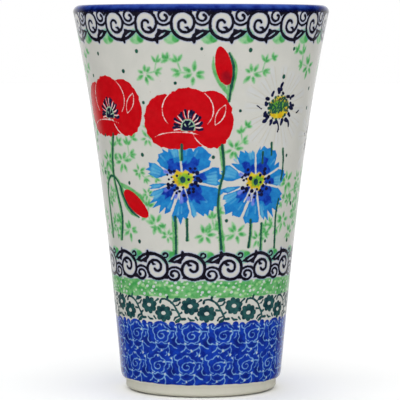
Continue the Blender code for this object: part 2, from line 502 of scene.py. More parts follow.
# Poppy
POPPY_PETALS = (
    # centre, half width and height, first and last direction of each edge that shows as a fold
    ((-9.3, 0.0), (8.5, 9.8), ()),
    ((9.0, 0.2), (8.4, 11.0), ((205, 248),)),
    ((-0.2, 3.9), (9.9, 8.4), ((128, 220), (-40, 48))),
    ((-3.6, -7.9), (10.6, 3.3), ((38, 158),)),
)
POPPY_TUCK = (12.3, 1.9)
TUCK_REACH = 4.4


def poppy(place):
    """A wide open poppy: four overlapping petals with cream folds, a tucked edge and a dark eye."""
    for centre, radii, folds in POPPY_PETALS:
        outline = smooth(arc(centre, radii, 0, 345, 12), closed=True)[:-1]
        place.area("red", frilled(outline, 0.22, 3.4))
        for first, last in folds:
            place.stroke("line", arc(centre, radii, first, last, 12), (0.16, 0.3, 0.34, 0.2))
    for side in (-1.0, 1.0):
        tuck = []
        for reach in np.linspace(-TUCK_REACH, TUCK_REACH, 9):
            bulge = side * 1.5 * (1.0 - (reach / TUCK_REACH) ** 2)
            tuck.append(polar(reach, 62.0) + polar(bulge, -28.0) + POPPY_TUCK)
        place.stroke("line", tuck, (0.16, 0.3, 0.2))
    poppy_eye(place)


def poppy_eye(place):
    """The dark seed head with its ring of stamens."""
    pick = np.random.RandomState(11).uniform
    centre = np.array((-0.1, -2.9))
    stretch = np.array((1.0, 1.2))
    place.area("halo", [centre + polar(2.9, d) * stretch for d in range(-20, 201, 20)])
    place.area("milk", ((-2.6, -3.4), (2.6, -3.4), (1.2, -4.8), (-1.2, -5.0)))
    for number in range(12):
        direction = -6.0 + 17.2 * number + pick(-4.0, 4.0)
        start = centre + polar(3.1, direction) * stretch
        middle = centre + polar(4.3, direction + pick(-3.0, 5.0)) * stretch
        end = centre + polar(pick(5.1, 5.8), direction + pick(-2.0, 6.0)) * stretch
        place.stroke("navy", (start, middle, end), (0.6, pick(0.7, 1.0), 1.1))
        beside = [centre + polar(reach, direction + 8.5) * stretch for reach in (2.9, 4.2, 5.4)]
        place.stroke("line", beside, (0.3, 0.5, 0.4))
    place.area("navy", frilled(
        np.array([centre + polar(2.3, d) * stretch for d in range(-25, 206, 15)]), 0.15, 1.1))
    for direction, first, last in ((28.0, 0.6, 2.1), (74.0, 1.1, 1.9), (150.0, 0.9, 1.6)):
        ends = (centre + polar(first, direction), centre + polar(last, direction - 12.0) * stretch)
        place.stroke("navy", ends, (0.25, 0.5), cut=True)


# Cornflower
def fan(first, last, inner, outer, teeth, chance):
    """A wedge of petal between two directions, with an unevenly torn outer edge."""
    steps = teeth * 2
    width = (first - last) / steps
    points = [polar(inner, first + 5.0), polar(inner * 0.8, (first + last) / 2), polar(inner, last - 5.0)]
    points.append(polar(outer * 0.6, last - 1.0))
    for step in range(steps + 1):
        inside = 0 < step < steps
        direction = last + width * (step + (chance.uniform(-0.55, 0.55) if inside else 0.0))
        bow = 0.88 + 0.12 * math.sin(math.pi * step / steps)
        reach = outer * bow * (1.0 if step % 2 else chance.choice((0.96, 0.9, 0.8)))
        points.append(polar(reach * chance.uniform(0.94, 1.05), direction))
    points.append(polar(outer * 0.6, first + 1.0))
    return points


CORNFLOWER_PETALS = (
    # first and last direction, inner and outer radius, teeth, reach of the dark root, paleness
    (150, 177, 8.2, 16.2, 3, 0.0, 1.0), (97, 149, 3.6, 14.2, 5, 9.2, 0.2),
    (26, 94, 3.6, 15.0, 6, 9.8, 0.0), (-10, 23, 4.6, 15.6, 3, 8.4, 0.7),
    (-77, -13, 3.4, 17.4, 7, 10.8, 0.1), (-109, -79, 4.6, 17.4, 3, 8.0, 0.0),
    (-160, -113, 3.8, 16.8, 5, 9.8, 0.3), (188, 199, 6.5, 14.8, 2, 0.0, 1.0),
)


def cornflower(place, seed):
    """Sky-blue toothed petals, darker at their roots, round a yellow eye."""
    chance = np.random.RandomState(seed)
    for first, last, inner, outer, teeth, root, pale in CORNFLOWER_PETALS:
        place.area("sky", fan(first, last, inner, outer, teeth, chance))
        if root > 0.0:
            place.area("deep", fan(first + 2, last - 2, 3.0, root * 0.86, 3, chance))
            middle = (first + last) / 2 + chance.uniform(-6, 6)
            place.area("deep", fan(middle - 11, middle + 13, 3.6, root * 1.12, 2, chance))
        for direction in np.arange(first + 5.0, first + 5.0 + pale * (last - first - 9.0), 6.0):
            tip = polar(outer * 0.8, direction)
            place.stroke("wash", (polar(9.6, direction), tip), (0.8, 1.5))
        for number in range(2):
            direction = chance.uniform(first + 4, last - 4)
            start = polar(chance.uniform(9.4, 10.8), direction)
            place.stroke("wash", (start, start * 1.25), (0.2, chance.uniform(0.3, 0.7)))
    for direction, reach in ((207, 8.0), (262, 8.4), (152, 7.6), (243, 7.2)):
        start = polar(4.8, direction)
        place.stroke("violet", (start, polar(reach, direction + 3)), (0.7, 1.4))
    for direction, reach in ((182, 7.4), (236, 8.8), (256, 7.6)):
        for pigment in ("sky", "deep"):
            line = (polar(3.4, direction), polar(reach, direction + 2))
            place.stroke(pigment, line, (1.5, 0.4), cut=True)
    place.area("yellow", frilled(oval((0.0, 0.4), 4.0, 3.3), 0.6, 1.5))
    place.area("lime", frilled(oval((0.7, 0.4), 2.9, 2.1, 15.0), 0.45, 1.3))
    place.spot("teal", (0.0, 0.1), (1.1, 1.35))
    for number in range(38):
        direction = number * 137.5 + chance.uniform(-9, 9)
        reach = 2.2 + 4.8 * math.sqrt(number / 37.0)
        size = chance.uniform(0.42, 0.92)
        if 62.0 < direction % 360.0 < 118.0 and reach > 3.4:
            continue
        place.spot("navy", polar(reach, direction) * (1.0, 0.85), (size, size * 0.95))


# Daisy
DAISY_OVAL = (1.1, 0.88)
DAISY_TICKS = (
    # direction, inner and outer radius, width of the longer brush marks
    (87, 7.0, 9.4, 1.5), (28, 7.0, 9.2, 1.3), (2, 7.4, 8.6, 1.3), (-7, 11.4, 12.8, 0.8),
    (-46, 6.6, 9.8, 1.2), (-88, 5.6, 9.3, 0.9), (-124, 6.0, 7.4, 1.2), (-147, 6.2, 8.8, 1.6),
    (179, 8.7, 10.9, 0.6),
)


def daisy(place, seed):
    """A pale flower: hardly visible petals, a yellow eye and near-black brush marks."""
    pick = np.random.RandomState(seed).uniform
    for number in range(16):
        direction = number * 22.5 + pick(-4, 4)
        length = pick(15.0, 18.0)
        place.stroke("petal", (polar(7.5, direction), polar(length - 2, direction)), (1.6, 3.2))
        for offset in (-7.0, 2.0):
            lines = [polar(r, direction + offset) for r in (7.0, 11.0, length - 1.0)]
            place.stroke("sand", lines, (0.15, 0.35, 0.2))
    place.area("yellow", frilled(oval((0, 0), 5.5, 4.6), 0.35, 2.2))
    place.area("lime", frilled(oval((-0.6, 0.5), 4.3, 2.4, 10.0), 0.3, 1.6))
    for number in range(52):
        column = -4.9 + 0.8 * (number % 13)
        row = -1.5 + 1.4 * (number // 13) + 0.12 * column + pick(-0.4, 0.4)
        if row > 1.9 and abs(column) > 3.6:
            continue
        start = np.array((column, row))
        end = start + (pick(-0.7, 0.8), pick(0.3, 1.2))
        place.stroke("stem", (start, end), pick(0.5, 0.9))
    for number in range(18):
        direction = number * 20.0 + pick(-4, 4)
        size = pick(0.35, 0.75)
        place.spot("stem", polar(pick(0.88, 1.02), direction) * (5.4, 4.7), (size, size))
    for number in range(15):
        direction = number * 24.0 + pick(-7, 7)
        start = polar(pick(5.8, 6.9), direction) * DAISY_OVAL
        end = start + polar(pick(0.5, 1.7), direction + pick(-70, 70))
        place.stroke("navy", (start, end), (pick(1.2, 1.9), pick(0.9, 1.5)))
    for direction, first, last, width in DAISY_TICKS:
        line = [polar(reach, direction + 4.0 * math.sin(reach)) for reach in np.linspace(first, last, 5)]
        place.stroke("navy", line, (width, width * 0.7, width * 1.1, width * 0.8))


# Meadow
def meadow(canvas, half):
    """The large flowers of one half of the wall."""
    foliage(canvas, half)
    stems(canvas, half)
    buds(canvas, half)
    poppy(Place(canvas, -6.5 + half, 108.15))
    poppy(Place(canvas, -54.0 + half, 112.4))
    cornflower(Place(canvas, -10.0 + half, 85.2), 3 + int(half))
    cornflower(Place(canvas, 31.8 + half, 84.1), 5 + int(half))
    daisy(Place(canvas, 43.1 + half, 112.5), 7 + int(half))
    daisy(Place(canvas, 88.0 + half, 101.0), 8 + int(half))


# Lower bands
def green_band(canvas):
    """A mottled green band with rows of white dots."""
    low, high = GREEN_BAND
    pick = np.random.RandomState(21).uniform
    heights, turn = canvas.grid()
    wave = 0.22 * np.sin(turn * 9.0 + 0.6) + 0.16 * np.sin(turn * 23.0) + 0.1 * np.sin(turn * 41.0)
    band = np.maximum(low + wave - heights, heights - high - wave * 0.4)
    canvas.ring("blade", band)
    count = 84
    for number in range(count * 2):
        patch = Place(canvas, 180.0 * number / count, pick(low + 0.9, high - 0.9))
        patch.spot("moss", (0, 0), (pick(0.5, 1.4), pick(0.4, 0.8)))
        patch = Place(canvas, 180.0 * number / count + 1.2, pick(low + 0.3, high - 0.3))
        patch.spot("band", (0, 0), (pick(0.4, 1.1), pick(0.3, 0.6)))
    for number in range(count):
        for row, height in enumerate((low + 1.0, low + 2.6, high - 2.2, high - 0.7)):
            if pick() < 0.3:
                continue
            angle = 360.0 * (number + 0.37 * row) / count + pick(-1.1, 1.1)
            dot = Place(canvas, angle, height + pick(-0.5, 0.5), turn=25.0)
            reach = pick(0.3, 0.72)
            dot.spot("milk", (0, 0), (reach, reach * 0.8))


def teal_flower(place, turn):
    """A small round flower of eight lobes with a white eye."""
    for number in range(8):
        centre = polar(2.4, number * 45.0 + turn) * (1.04, 0.96)
        place.area("teal", oval(centre, 1.2, 1.12, number * 45.0 + turn, count=14))
    place.spot("teal", (0, 0), (2.7, 2.6))
    place.spot("teal", (0, 0), (0.95, 0.72), cut=True)


def teal_band(canvas):
    """Small dark flowers high and low in turn, on a winding vine."""
    vine = smooth(((-1.2, 4.1), (-0.7, 5.3), (1.1, 5.5), (3.0, 4.6), (4.5, 3.2), (5.4, 1.5), (6.4, -0.3),
                   (7.0, -2.0)))
    marks = (
        # thorns and small leaves beside the vine: points and widths
        (((-1.2, 4.1), (-1.0, 4.8)), (1.0, 1.0)),
        (((1.7, 5.4), (2.1, 6.5)), (0.9, 0.9)),
        (((4.3, 4.6), (5.4, 5.3), (6.9, 5.5)), (0.6, 1.7, 1.0)),
        (((5.3, 3.1), (6.2, 3.4), (7.0, 4.4)), (0.5, 0.7, 0.9)),
        (((5.0, 1.2), (3.7, 1.4)), (0.6, 0.9)),
        (((6.4, -0.4), (7.5, 0.4)), (0.6, 0.9)),
        (((4.3, -2.6), (4.9, -1.6), (6.6, -1.0)), (0.7, 0.9, 0.6)),
        (((5.1, -3.3), (5.9, -2.8), (7.0, -1.8)), (1.0, 1.5, 0.8)),
        (((7.4, -2.2), (8.6, -2.1)), (1.0, 1.1)),
        (((-7.1, -1.7), (-6.2, -2.5), (-4.9, -2.6)), (0.6, 1.0, 0.7)),
        (((-4.2, -1.5), (-3.5, -2.4)), (0.9, 0.8)),
        (((-3.5, 4.4), (-2.1, 5.4)), (0.5, 0.9)),
    )
    for angle in round_wall(-7.0, 28.6, 13):
        teal_flower(Place(canvas, angle, 36.3), 12.0)
        low = Place(canvas, angle + 10.6, 33.4)
        teal_flower(low, 0.0)
        low.stroke("teal", vine, (0.9, 0.8, 0.85, 0.9, 0.8))
        for points, width in marks:
            low.stroke("teal", points, width)


# Cobalt lattice
def rose(place):
    """A loosely lined rose in a net of curling branches."""
    cloud = [
        polar(3.0 + 0.95 * abs(math.sin(math.radians(2.5 * (d + 20)))), d) * (0.98, 0.95) + (-0.1, 0.9)
        for d in range(-68, 249, 9)
    ]
    tail = smooth(((6.6, 1.7), (4.8, 2.0), (3.0, 1.8), (1.4, 2.1), (0.2, 1.8)))
    heart = spiral((-0.2, 0.1), ((70, 1.75), (130, 1.5), (180, 1.6), (270, 1.3), (360, 1.35), (440, 0.5)))
    branches = (
        ((-2.6, -2.9), (-1.6, -3.3), (-0.6, -2.7), (0.3, -2.6), (1.2, -3.1), (3.1, -3.0)),
        ((-2.6, -3.0), (-2.3, -4.4), (-1.2, -5.3), (0.0, -5.5), (1.4, -5.2), (2.6, -4.3), (3.0, -3.1)),
        ((-2.6, -3.0), (-3.6, -3.2), (-4.6, -2.8)),
        ((-2.4, -4.2), (-3.0, -5.4), (-4.3, -6.3)),
        ((3.1, -3.1), (4.3, -3.7), (5.1, -4.5), (6.3, -4.9)),
        ((2.8, -4.2), (3.2, -5.6), (2.7, -7.2)),
        ((5.8, 3.8), (6.5, 2.6), (6.0, 1.0), (6.5, -0.4), (5.9, -1.8), (6.6, -3.0), (7.6, -3.1)),
        ((4.2, -1.0), (5.0, -0.3), (5.1, 0.9)),
        ((-3.6, 2.6), (-4.8, 3.0), (-5.0, 4.2), (-4.2, 4.9)),
        ((3.6, 4.4), (4.4, 5.0), (4.2, 6.0)),
        ((-0.2, -5.8), (-0.9, -6.6), (-1.9, -6.5)),
    )
    lines = [cloud, np.vstack([tail, heart])] + [smooth(branch) for branch in branches]
    for line in lines:
        place.stroke("vein", line, (0.38, 0.31, 0.38))
    nodes = ((-2.6, -3.0), (3.0, -3.1), (-0.2, -5.8), (0.2, 4.4), (2.9, 1.8), (2.8, -7.4), (6.2, 3.4))
    for number, (x, y) in enumerate(nodes):
        for turn in (0, 120, 240):
            node = np.array((x, y))
            place.stroke("vein", (node, node + polar(0.6, 50 * number + turn)), (0.65, 0.25))
        place.spot("milk", (x, y), (0.28, 0.26 + 0.1 * (number % 3)))


def lattice(canvas):
    """The deep blue band over the foot: two rows of lined roses under a scalloped edge."""
    heights, turn = canvas.grid()
    band = heights - LATTICE_TOP + 1.5 + 0.15 * np.sin(turn * 31.0)
    canvas.ring("cobalt", band)
    for number in range(ROSES):
        angle = 360.0 / ROSES * number - 6.0
        crown = Place(canvas, angle, 24.6)
        crown.spot("cobalt", (-0.2, 1.2), (4.5, 4.5))
        crown.spot("cobalt", (4.7, 4.4), (1.3, 1.2))
        crown.spot("cobalt", (-4.9, 4.2), (1.3, 1.0))
        crown.stroke("vein", [polar(5.0, d) + (-0.1, 0.2) for d in range(35, 150, 15)], 0.3)
        rose(crown)
        below = Place(canvas, angle - 3.9, 12.4, size=0.98)
        rose(below)
        for place in (crown, below):
            place.area("night", ((4.2, -1.6), (6.8, -0.2), (8.0, -3.0), (5.6, -4.6), (4.0, -3.4)))
            place.area("night", ((-1.8, -3.6), (1.6, -3.6), (1.2, -4.8), (-0.8, -5.0)))
            place.area("night", ((-1.0, 0.6), (0.0, 1.2), (0.6, 0.0), (-0.4, -0.6)))
    for name in ("vein", "milk"):
        sheet = canvas.sheets[name]
        kept = np.where(heights < LATTICE_TOP + 0.7, np.maximum(sheet, band * 0.3), sheet)
        canvas.sheets[name] = kept.astype(np.float32)


def lip_shadow_band(canvas):
    """The cobalt of the lip, carried down to its uneven lower edge."""
    heights, turn = canvas.grid()
    wave = 0.12 * np.sin(turn * 7.0) + 0.1 * np.sin(turn * 17.0 + 1.0)
    canvas.ring("cobalt", LIP_SHADOW_Z + wave * 0.6 - heights)


def painted_wall(heights):
    """Every pigment's sheet of distances for the whole wall."""
    canvas = Canvas(PAINTS, heights, skin_radius(heights), WALL_COLUMNS)
    meadow(canvas, 0.0)
    meadow(canvas, 180.0)
    scroll_bands(canvas)
    green_band(canvas)
    teal_band(canvas)
    lattice(canvas)
    lip_shadow_band(canvas)
    return canvas.sheets


# Turned pieces
def turned(name, rows, columns, closed, weights=None):
    """A closed turned mesh from (radius, height) rows; a row of radius 0 is a pole."""
    rows = np.array(rows, float)
    angles = np.arange(columns) * math.tau / columns
    points = []
    starts = []
    for radius, height in rows:
        starts.append(sum(len(part) for part in points))
        if radius <= 0.0:
            points.append(np.array([[0.0, 0.0, height]]))
            continue
        ring = np.stack([radius * np.sin(angles), -radius * np.cos(angles)], 1)
        points.append(np.hstack([ring, np.full((columns, 1), height)]))
    verts = np.vstack(points)
    steps = np.hypot(*np.diff(rows, axis=0).T)
    if weights is not None:
        steps = steps * np.asarray(weights)[:-1]
    closing = steps[-1] * 0.5 if closed else 0.0
    run = np.concatenate([[0.0], np.cumsum(steps)])
    level = run / (run[-1] + closing)
    corners = []
    uvs = []
    sizes = []
    count = len(rows)
    index = np.arange(columns)
    after = (index + 1) % columns
    u0 = index / columns
    u1 = (index + 1) / columns
    for i in range(count if closed else count - 1):
        j = (i + 1) % count
        v0 = level[i]
        v1 = level[j] if j else 1.0
        a, b = starts[i], starts[j]
        if rows[i][0] <= 0.0:
            face = np.stack([np.full(columns, a), b + after, b + index], 1)
            uv = np.stack([(u0 + u1) / 2, v0 + 0 * u0, u1, v1 + 0 * u0, u0, v1 + 0 * u0], 1)
        elif rows[j][0] <= 0.0:
            face = np.stack([a + index, a + after, np.full(columns, b)], 1)
            uv = np.stack([u0, v0 + 0 * u0, u1, v0 + 0 * u0, (u0 + u1) / 2, v1 + 0 * u0], 1)
        else:
            face = np.stack([a + index, a + after, b + after, b + index], 1)
            uv = np.stack(
                [u0, v0 + 0 * u0, u1, v0 + 0 * u0, u1, v1 + 0 * u0, u0, v1 + 0 * u0], 1
            )
        corners.append(face.ravel())
        uvs.append(uv.ravel())
        sizes.append(np.full(columns, face.shape[1]))
    sizes = np.concatenate(sizes)
    loops = np.concatenate(corners)
    mesh = bpy.data.meshes.new(name)
    mesh.vertices.add(len(verts))
    mesh.vertices.foreach_set("co", verts.ravel())
    mesh.loops.add(len(loops))
    mesh.loops.foreach_set("vertex_index", loops.astype(np.int32))
    mesh.polygons.add(len(sizes))
    offsets = np.concatenate([[0], np.cumsum(sizes)[:-1]])
    mesh.polygons.foreach_set("loop_start", offsets.astype(np.int32))
    layer = mesh.uv_layers.new(name="OFBake")
    layer.data.foreach_set("uv", np.concatenate(uvs))
    mesh.update(calc_edges=True)
    mesh.validate()
    mesh.shade_smooth()
    item = bpy.data.objects.new(name, mesh)
    bpy.context.collection.objects.link(item)
    return item


def inward(rows, distance):
    """The same run, moved into the clay; outside lies to the right of its direction."""
    ahead = np.gradient(rows, axis=0)
    ahead /= np.hypot(*ahead.T)[:, None]
    return rows + np.stack([-ahead[:, 1], ahead[:, 0]], 1) * distance


def lip_rows(proud=0.0):
    """The rolled lip, from the outer wall over the top to the inner wall."""
    centre_z = HEIGHT - LIP_RISE
    centre = float(outer_radius(centre_z)) - LIP_OUTER_ROLL
    outside = arc((centre, centre_z), (LIP_OUTER_ROLL + proud, LIP_RISE), 0.0, 90.0, 20)
    inside = arc((centre, centre_z), (WALL - LIP_OUTER_ROLL + proud, LIP_RISE), 90.0, 180.0, 16)
    return np.vstack([outside, inside[1:]])


def inner_rows(high, low, count):
    """The inner wall, going down."""
    heights = np.linspace(high, low, count)
    return run_of(outer_radius(heights) - WALL, heights)


def corner_rows(count):
    """The rounded inside corner and the floor, ending on the axis."""
    corner_z = FLOOR_Z + CORNER_RADIUS
    centre = float(outer_radius(corner_z)) - WALL - CORNER_RADIUS
    bend = arc((centre, corner_z), (CORNER_RADIUS, CORNER_RADIUS), 0.0, -90.0, count)
    flat = run_of(np.linspace(centre, 0.0, 24), FLOOR_Z)
    return np.vstack([bend, flat[1:]])


def store(item, name, values):
    """A number for each point of a mesh."""
    layer = item.data.attributes.new(name=name, type="FLOAT", domain="POINT")
    layer.data.foreach_set("value", np.ascontiguousarray(values, np.float32).ravel())


def wall_piece():
    """The decorated coat."""
    heights = np.linspace(PAINT_EDGE_Z, LIP_BAND_BOTTOM + WALL_UNDER_LIP, WALL_ROWS)
    outer = run_of(skin_radius(heights), heights)
    inner = inward(outer, COAT)[::-40]
    item = turned("decorated_wall", np.vstack([outer, inner]), WALL_COLUMNS, closed=True)
    ragged_edge(item)
    sheets = painted_wall(heights)
    hidden = np.full((len(inner), WALL_COLUMNS), FAR)
    for name, sheet in sheets.items():
        store(item, name, np.vstack([sheet, hidden]))
    return item


def ragged_edge(item):
    """Let the lower edge of the coat wander up and down, as it was wiped by hand."""
    count = len(item.data.vertices)
    points = np.empty(count * 3, np.float32)
    item.data.vertices.foreach_get("co", points)
    grid = points.reshape(-1, WALL_COLUMNS, 3)
    turn = np.arange(WALL_COLUMNS) * math.tau / WALL_COLUMNS
    wander = 0.10 * np.sin(turn * 5.0) + 0.09 * np.sin(turn * 18.0 + 1.0) + 0.06 * np.sin(turn * 47.0)
    heights = grid[..., 2]
    near = np.clip((0.0085 - heights) / 0.0032, 0.0, 1.0)
    moved = heights + near * wander[None, :] / MM
    before = np.hypot(grid[..., 0], grid[..., 1])
    after = before + skin_radius(moved) - skin_radius(heights)
    grid[..., 0] *= after / before
    grid[..., 1] *= after / before
    grid[..., 2] = moved
    item.data.vertices.foreach_set("co", points)
    item.data.update()


def lip_piece():
    """The cobalt band over the lip."""
    low = np.linspace(LIP_BAND_BOTTOM + 0.0001, HEIGHT - LIP_RISE, 3)[:-1]
    outside = run_of(outer_radius(low) + LIP_PROUD, low)
    inside = inner_rows(HEIGHT - LIP_RISE, LIP_BAND_INNER_BOTTOM, 8)[1:]
    face = np.vstack([outside, lip_rows(LIP_PROUD), inside])
    back = inward(face, COAT)[::-3]
    return turned("cobalt_lip", np.vstack([face, back]), PLAIN_COLUMNS, closed=True)


def liner_piece():
    """The plain coat inside."""
    face = np.vstack([inner_rows(LIP_BAND_INNER_BOTTOM, FLOOR_Z + CORNER_RADIUS, 60), corner_rows(16)[1:]])
    back = inward(face, COAT)[::-1]
    back[0][0] = 0.0
    return turned("liner", np.vstack([face, back]), PLAIN_COLUMNS, closed=False)


def clay_piece():
    """The bare clay: foot ring, hollow base, and the body under the coats."""
    recess = run_of(np.linspace(0.0, RECESS_RADIUS - RECESS_DRAFT, 10), RECESS_DEPTH)
    centre = FOOT_RADIUS - FOOT_ROLL_WIDTH
    flat = run_of(np.linspace(RECESS_RADIUS, centre, 6), 0.0)[:-1]
    roll = arc((centre, FOOT_ROLL_HEIGHT), (FOOT_ROLL_WIDTH, FOOT_ROLL_HEIGHT), -90.0, 0.0, 14)
    side = run_of(FOOT_RADIUS, np.linspace(FOOT_ROLL_HEIGHT, FOOT_HEIGHT, 6))[1:]
    heights = np.linspace(FOOT_HEIGHT, SHOULDER_TOP, 16)[1:]
    shoulder = run_of(skin_radius(heights) - SHOULDER_SHY, heights)
    wall_z = np.linspace(SHOULDER_TOP, HEIGHT - LIP_RISE, 30)[1:]
    skin = np.vstack([
        run_of(outer_radius(wall_z), wall_z), lip_rows()[1:],
        inner_rows(HEIGHT - LIP_RISE, FLOOR_Z + CORNER_RADIUS, 30)[1:], corner_rows(10)[1:],
    ])
    hidden = inward(skin, COAT + COAT_GAP)
    hidden[-1][0] = 0.0
    rows = np.vstack([recess, flat, roll, side, shoulder, hidden])
    weights = np.ones(len(rows))
    weights[-len(hidden):] = 0.1
    return turned("clay_body", rows, PLAIN_COLUMNS, closed=False, weights=weights)


def base_piece():
    """The thin coat in the hollow of the base."""
    top = RECESS_DEPTH - COAT_GAP
    bottom = top - COAT
    edge = BASE_COAT_RADIUS
    face = run_of(np.linspace(0.0, edge - BASE_COAT_BEVEL, 16), bottom)
    rim = ((edge, (bottom + top) / 2), (edge - BASE_COAT_BEVEL, top))
    back = run_of(np.linspace(edge - 3 * BASE_COAT_BEVEL, 0.0, 6), top)
    return turned("base_coat", np.vstack([face, rim, back]), PLAIN_COLUMNS, closed=False)


# Shader graphs
class Nodes:
    """A node tree, filled and linked one call at a time."""

    def __init__(self, tree, coordinates):
        self.tree = tree
        self.coords = self.add("ShaderNodeTexCoord", {}, output=coordinates)

    def add(self, kind, inputs, output=0, **settings):
        """A node with some settings and inputs; returns one of its outputs."""
        node = self.tree.nodes.new(kind)
        for key, value in settings.items():
            setattr(node, key, value)
        for key, value in inputs.items():
            self.feed(node.inputs[key], value)
        return node.outputs[output]

    def feed(self, socket, value):
        """Link a socket, or set its number or colour."""
        if isinstance(value, bpy.types.NodeSocket):
            self.tree.links.new(value, socket)
        else:
            socket.default_value = value

    def axis(self, name):
        """One coordinate."""
        return self.add("ShaderNodeSeparateXYZ", {0: self.coords}, output=name)

    def math(self, operation, *values):
        """One sum."""
        return self.add("ShaderNodeMath", dict(enumerate(values)), operation=operation)

    def remap(self, value, low, high, to_low=0.0, to_high=1.0, kind="SMOOTHSTEP"):
        """A value moved from one range to another."""
        inputs = {
            "Value": value, "From Min": low, "From Max": high, "To Min": to_low, "To Max": to_high,
        }
        return self.add("ShaderNodeMapRange", inputs, output="Result", interpolation_type=kind)

    def choose(self, factor, a, b):
        """The first level, or the second where the factor is 1."""
        return self.add("ShaderNodeMix", {0: factor, 2: a, 3: b})

    def mix(self, factor, a, b):
        """Two colours mixed."""
        return self.add("ShaderNodeMix", {0: factor, 6: a, 7: b}, output=2, data_type="RGBA")


class Graph(Nodes):
    """A material's nodes."""

    def __init__(self, name):
        self.material = bpy.data.materials.new(name)
        self.material.use_nodes = True
        super().__init__(self.material.node_tree, "Object")

    def set(self, name, value):
        """One input of the surface shader."""
        self.feed(self.tree.nodes["Principled BSDF"].inputs[name], value)

    def noise(self, size, detail=2.0, rough=0.5):
        """Noise of about the given size in mm, from 0 to 1."""
        inputs = {"Vector": self.coords, "Scale": MM / size, "Detail": detail, "Roughness": rough}
        return self.add("ShaderNodeTexNoise", inputs, output="Fac")

    def patches(self, size, low=0.3, high=0.7, to_low=0.0, to_high=1.0, **kinds):
        """Noise with its middle range stretched."""
        return self.remap(self.noise(size, **kinds), low, high, to_low, to_high)

    def bump(self, height, distance, **under):
        """A bump from a height of 0 to 1, with its depth in mm, over another one if given."""
        inputs = {"Height": height, "Distance": distance / MM, **under}
        return self.add("ShaderNodeBump", inputs, output="Normal")


# Each pigment, from the lowest to the topmost: dark tone, light tone, edge softness in mm
PAINTS = {
    "petal": ((199, 200, 198), (202, 204, 203), 1.2),
    "sand": ((196, 192, 178), (190, 185, 168), 0.3),
    "leaf": ((104, 178, 116), (150, 198, 150), 0.45),
    "blade": ((78, 158, 86), (118, 182, 120), 0.35),
    "moss": ((58, 150, 74), (84, 172, 96), 0.45),
    "band": ((140, 196, 128), (160, 205, 148), 0.35),
    "cobalt": ((12, 36, 134), (20, 62, 176), 0.1),
    "night": ((10, 28, 112), (18, 42, 136), 0.8),
    "vein": ((84, 134, 200), (136, 182, 214), 0.15),
    "milk": ((186, 200, 196), (204, 210, 202), 0.16),
    "sky": ((24, 110, 184), (36, 134, 197), 0.12),
    "wash": ((92, 170, 206), (70, 156, 203), 0.5),
    "deep": ((12, 42, 146), (24, 78, 184), 0.3),
    "violet": ((82, 104, 206), (120, 136, 214), 0.45),
    "red": ((188, 3, 15), (199, 7, 20), 0.08),
    "maroon": ((138, 10, 26), (158, 12, 28), 1.1),
    "halo": ((158, 190, 164), (122, 164, 132), 0.2),
    "line": ((232, 216, 212), (220, 198, 196), 0.1),
    "yellow": ((204, 162, 18), (212, 198, 52), 0.3),
    "lime": ((78, 150, 50), (136, 184, 50), 0.5),
    "stem": ((24, 66, 60), (40, 94, 74), 0.16),
    "teal": ((18, 52, 60), (42, 88, 87), 0.1),
    "navy": ((14, 16, 44), (26, 30, 66), 0.1),
    "ink": ((16, 14, 24), (30, 27, 40), 0.08),
}


def glaze_surface(graph, colour, roughness, peel=0.012):
    """A clear glossy glaze over a colour, with a faint orange-peel surface."""
    graph.set("Base Color", colour)
    graph.set("IOR", 1.5)
    graph.set("Specular IOR Level", 0.5)
    fine = graph.noise(0.9, detail=3.0)
    graph.set("Roughness", graph.patches(4.0, to_low=roughness * 0.8, to_high=roughness * 1.3))
    waves = graph.bump(graph.noise(7.0, detail=1.0), peel * 4.0)
    graph.set("Normal", graph.bump(fine, peel, Normal=waves))


CREAM = (srgb(199, 199, 192), srgb(205, 204, 197))
PALE_CREAM = (srgb(222, 221, 212), srgb(228, 226, 217))


def cream(graph, tones=CREAM):
    """The cream ground under the glaze: faint clouds and a few iron specks."""
    ground = graph.mix(graph.patches(9.0, detail=4.0), *tones)
    grain = graph.patches(1.1, 0.35, 0.7, to_high=0.35, detail=4.0)
    ground = graph.mix(grain, ground, tones[0])
    specks = graph.patches(0.8, 0.76, 0.82, to_high=0.5, detail=1.0)
    return graph.mix(specks, ground, srgb(150, 128, 96))


def decorated_glaze():
    """Cream ground, every pigment over it, and the clear glaze."""
    graph = Graph("decorated_glaze")
    edge = graph.remap(graph.noise(0.55), 0.2, 0.8, -0.09, 0.09, "LINEAR")
    wander = graph.remap(graph.noise(2.2), 0.2, 0.8, -0.12, 0.12, "LINEAR")
    shift = graph.math("ADD", edge, wander)
    tone = graph.patches(2.4, 0.32, 0.68, detail=4.0, rough=0.6)
    colour = cream(graph)
    for name, (dark, light, soft) in PAINTS.items():
        distance = graph.add("ShaderNodeAttribute", {}, output="Fac", attribute_name=name)
        moved = graph.math("ADD", distance, shift)
        if name == "ink":
            bleed = graph.remap(moved, 0.6, 0.0, 0.0, 0.5)
            colour = graph.mix(bleed, colour, srgb(118, 138, 196))
        cover = graph.remap(moved, soft, -soft)
        colour = graph.mix(cover, colour, graph.mix(tone, srgb(*dark), srgb(*light)))
    glaze_surface(graph, colour, 0.10)
    return graph.material


